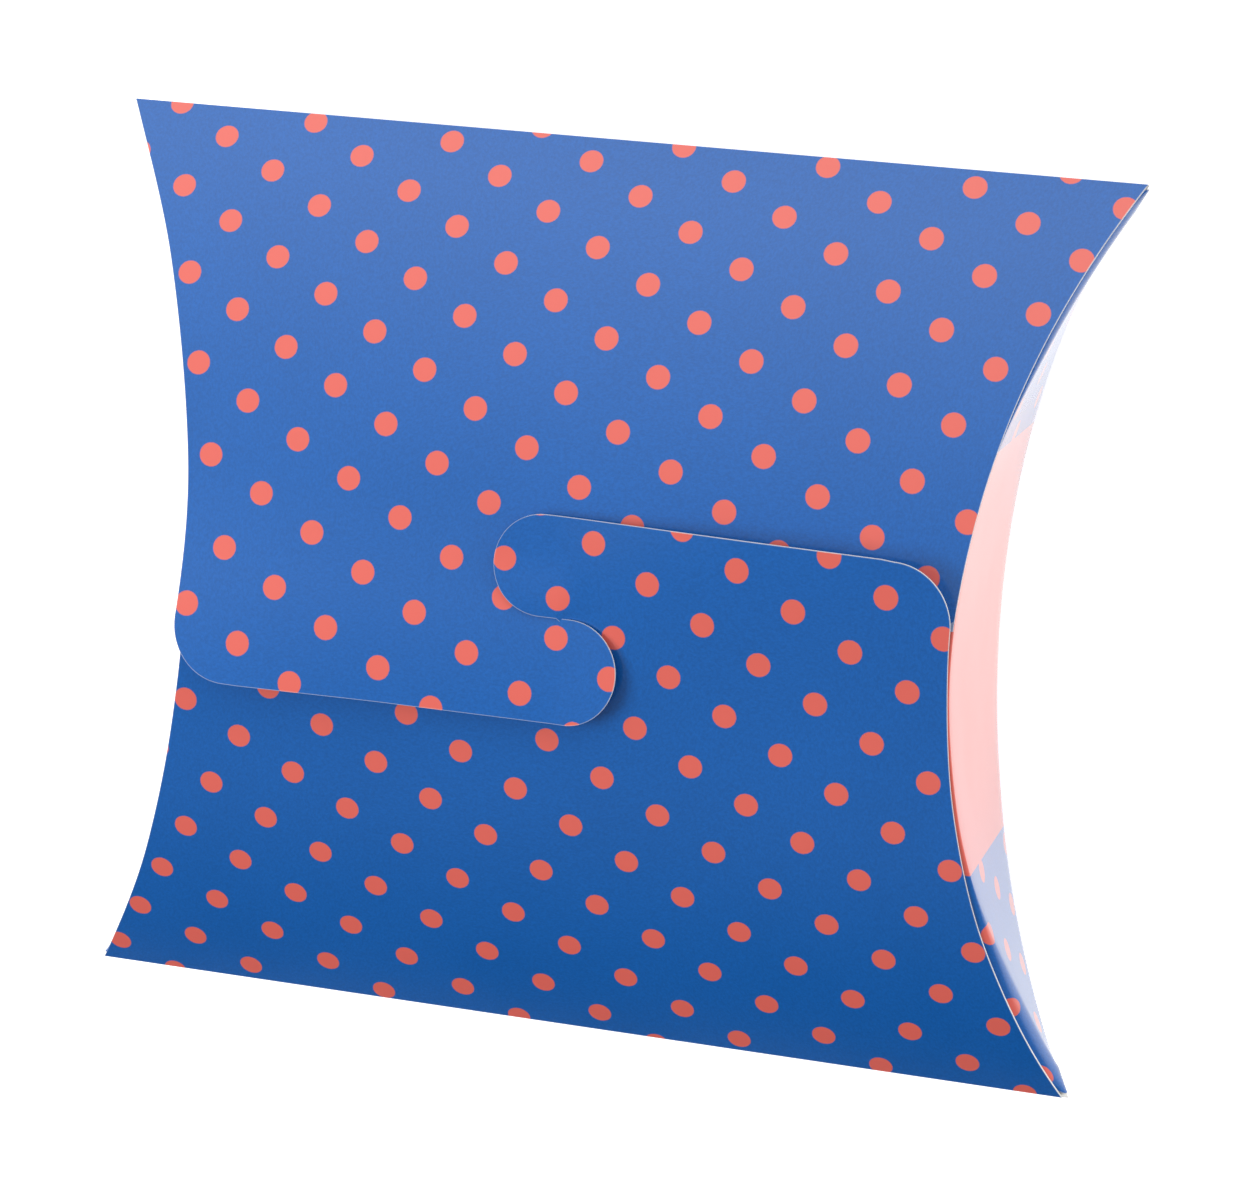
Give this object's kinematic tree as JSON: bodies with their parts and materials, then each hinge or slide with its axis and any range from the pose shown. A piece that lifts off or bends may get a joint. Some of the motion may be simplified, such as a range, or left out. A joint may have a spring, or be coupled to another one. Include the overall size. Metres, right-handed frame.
{
  "type": "pillow box",
  "caption": "Curved pillow box folded from polka-dot board, with flaps that lock across the front with an S-shaped pair of hooks.",
  "frame": {"origin": "under the middle of the box, on the surface that its back panel lies on", "axes": "+X to the right end, +Y to the top crease, +Z out of the front, with the box lying on its back"},
  "size_m": [0.1998, 0.1758, 0.059],
  "materials": {
    "printed_board": "printed and film-laminated board, blue with coral dots, slight sheen",
    "banded_board": "the same board where a plain coral band crosses the ends"
  },
  "bodies": {
    "root": {"back_panel": "printed_board", "left_wing": "banded_board", "right_wing": "banded_board"},
    "upper_flap": {"upper_flap": "printed_board", "upper_flap_hook": "printed_board"},
    "lower_flap": {"lower_flap": "printed_board", "lower_flap_hook": "printed_board"},
    "left_leaf": {"left_wing_leaf": "banded_board"},
    "right_leaf": {"right_wing_leaf": "banded_board"}
  },
  "joints": [
    {"name": "upper_flap_hinge", "type": "hinge", "parent": "root", "child": "upper_flap", "pos_m": [0, 0.088, 0.0268], "axis": [-1, 0, 0], "range_deg": [0, 110], "deforming": ["upper_flap_hook"]},
    {"name": "lower_flap_hinge", "type": "hinge", "parent": "root", "child": "lower_flap", "pos_m": [0, -0.088, 0.0268], "axis": [1, 0, 0], "range_deg": [0, 110], "deforming": ["lower_flap_hook"]},
    {"name": "left_leaf_hinge", "type": "hinge", "parent": "root", "child": "left_leaf", "pos_m": [-0.0725, 0, 0.0524], "axis": [0, -1, 0], "range_deg": [0, 90]},
    {"name": "right_leaf_hinge", "type": "hinge", "parent": "root", "child": "right_leaf", "pos_m": [0.0725, 0, 0.0524], "axis": [0, 1, 0], "range_deg": [0, 90]}
  ],
  "couplings": [
    {"joint": "lower_flap_hinge", "follows": "upper_flap_hinge", "ratio": 1},
    {"joint": "left_leaf_hinge", "follows": "upper_flap_hinge", "ratio": 0.8181},
    {"joint": "right_leaf_hinge", "follows": "upper_flap_hinge", "ratio": 0.8181}
  ]
}
